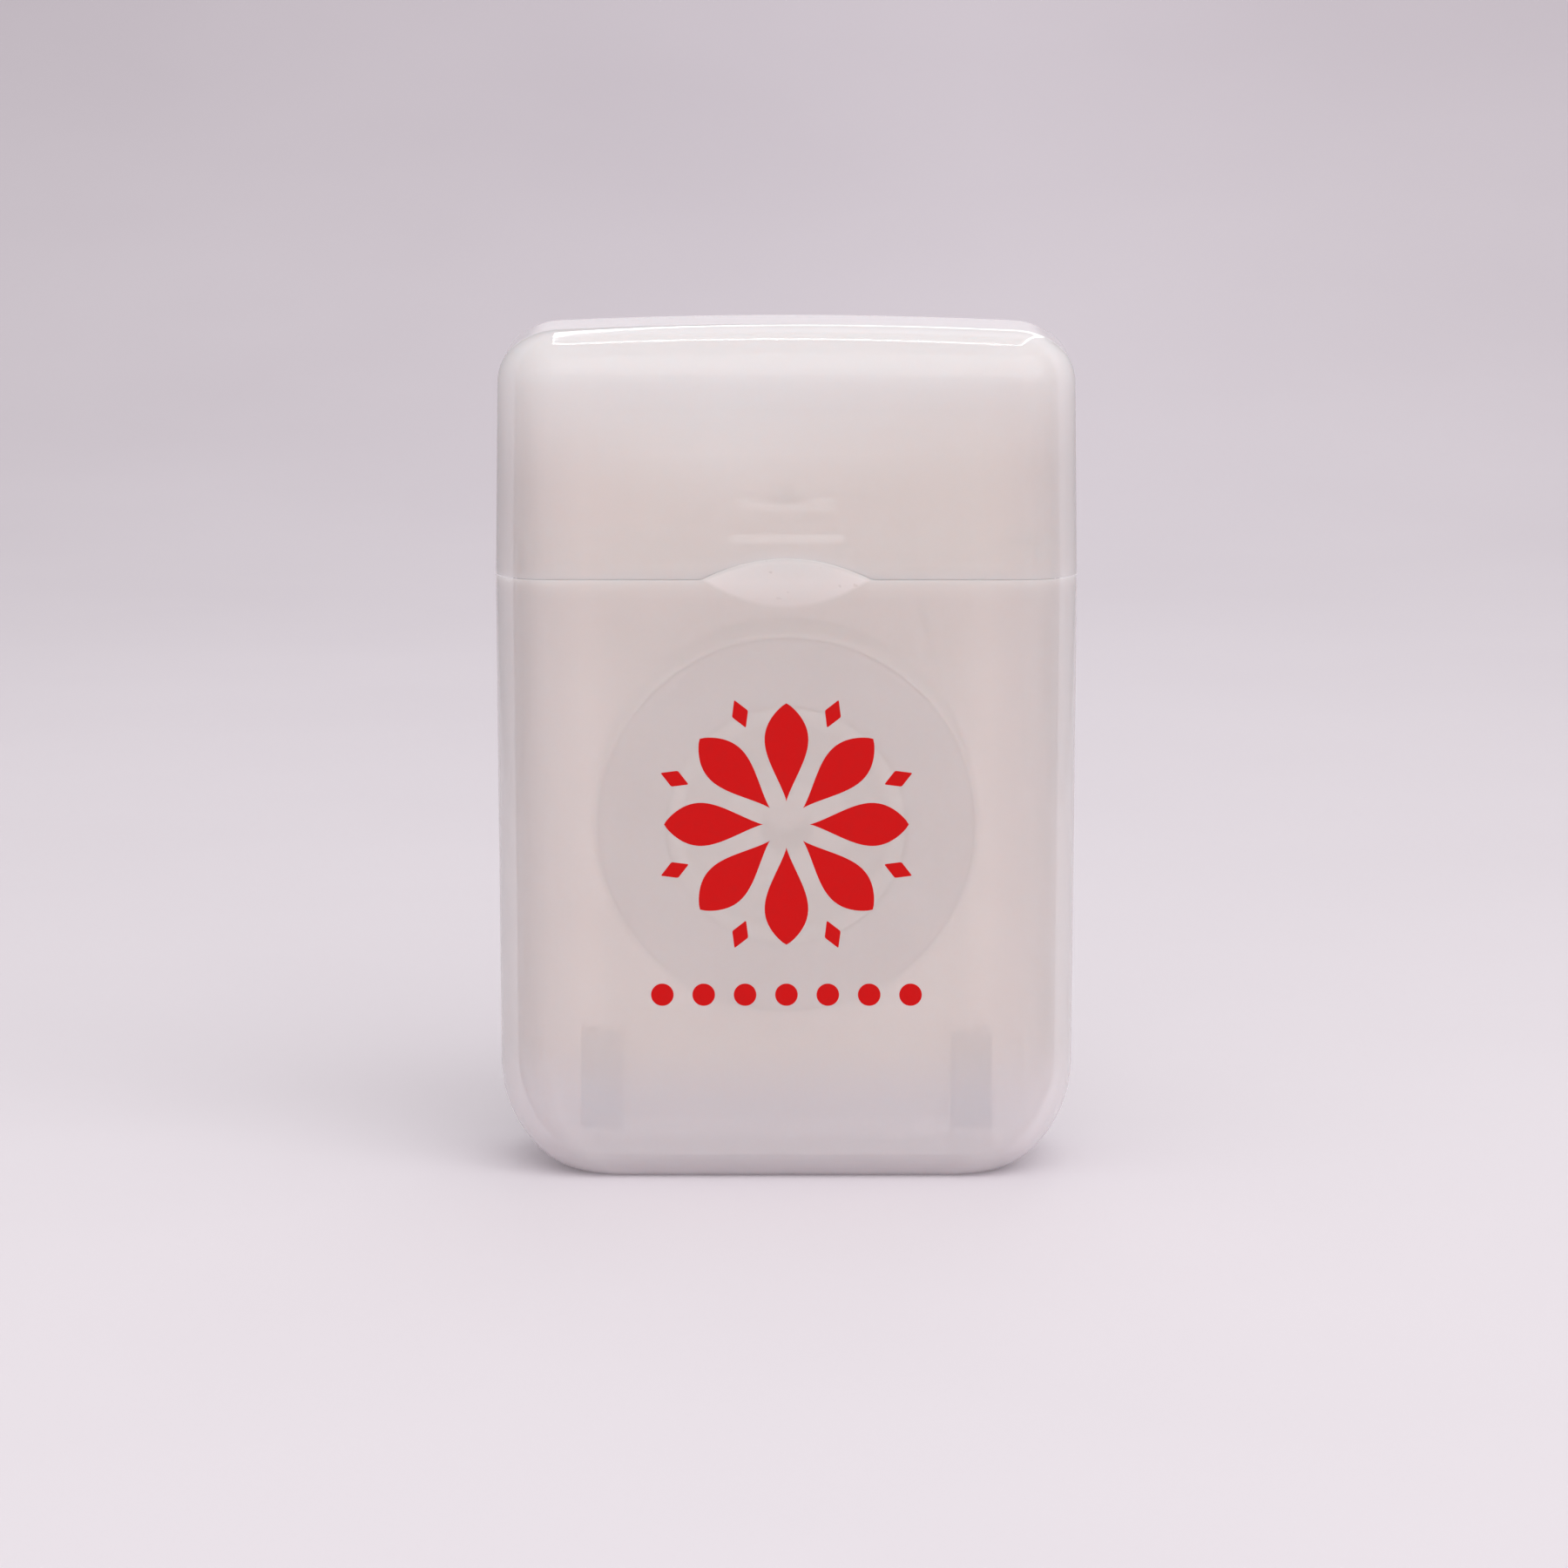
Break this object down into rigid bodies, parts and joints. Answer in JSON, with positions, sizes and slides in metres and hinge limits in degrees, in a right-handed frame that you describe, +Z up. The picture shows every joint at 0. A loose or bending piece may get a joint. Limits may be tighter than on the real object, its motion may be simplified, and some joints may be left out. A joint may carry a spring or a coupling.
{
  "type": "dental floss dispenser",
  "caption": "Flip-top pocket dispenser in milky plastic: a rounded case and hinged lid round a spool of floss, with eyelet and steel cutter on a deck under the lid.",
  "frame": {"origin": "middle of the base, on the surface that the dispenser stands on", "axes": "+Z up, -Y towards the front with the thumb scoop, +X to the right as seen from the front; the lid's hinge is at +Y"},
  "size_m": [0.04, 0.016, 0.059],
  "materials": {
    "milky_plastic": "milky translucent polypropylene, satin gloss",
    "white_plastic": "natural white moulded plastic",
    "stainless_steel": "thin stamped stainless sheet",
    "waxed_floss": "waxed white thread"
  },
  "bodies": {
    "case": {"case_body": "milky_plastic", "living_hinge": "milky_plastic", "spool_carrier": "white_plastic", "floss_cutter": "stainless_steel", "floss_lead": "waxed_floss"},
    "lid": {"lid": "milky_plastic"},
    "spool": {"spool_hub": "white_plastic", "floss_pack": "waxed_floss", "floss_outer_turns": "waxed_floss"}
  },
  "joints": [
    {"name": "lid_hinge", "type": "hinge", "parent": "case", "child": "lid", "pos_m": [0, 0.00775, 0.0419], "axis": [-1, 0, 0], "range_deg": [0, 130]},
    {"name": "spool_spin", "type": "hinge", "parent": "case", "child": "spool", "pos_m": [0, 0, 0.0244], "axis": [0, -1, 0], "continuous": true}
  ]
}
